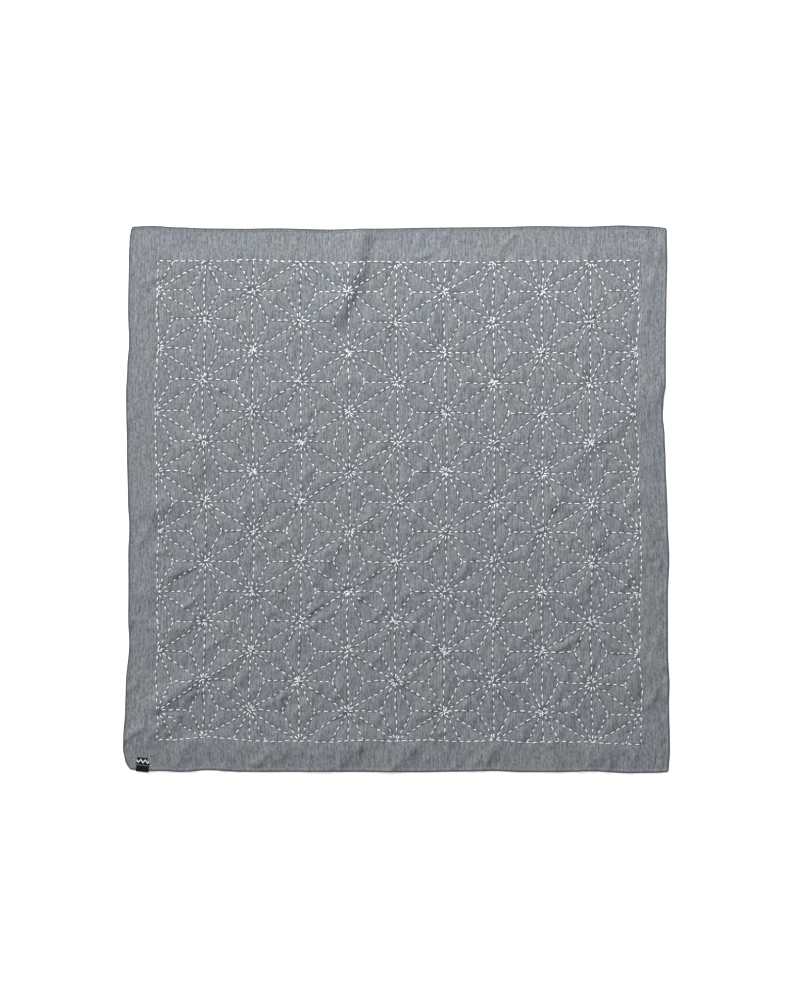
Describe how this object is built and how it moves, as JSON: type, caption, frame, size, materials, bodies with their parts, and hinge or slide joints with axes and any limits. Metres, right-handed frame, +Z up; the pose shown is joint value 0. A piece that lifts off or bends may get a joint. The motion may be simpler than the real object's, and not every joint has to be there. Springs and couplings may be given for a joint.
{
  "type": "sashiko embroidered cloth",
  "caption": "Square hemmed chambray cloth laid flat, covered with a white running-stitch hemp-leaf star net inside a plain margin, with a small folded label on its lower hem.",
  "frame": {"origin": "middle of the cloth's box, on the surface that the cloth lies on", "axes": "+X to the right of the face, +Y to the top edge of the pattern, +Z up out of the face"},
  "size_m": [0.5674, 0.5684, 0.0098],
  "materials": {
    "chambray": "dry, slightly slubby blue-grey chambray with soft creases",
    "stitch_thread": "matt white soft-twist cotton",
    "label_tape": "close black woven tape with a fine rib"
  },
  "bodies": {
    "root": {"cloth": "chambray", "label": "label_tape"}
  },
  "joints": []
}
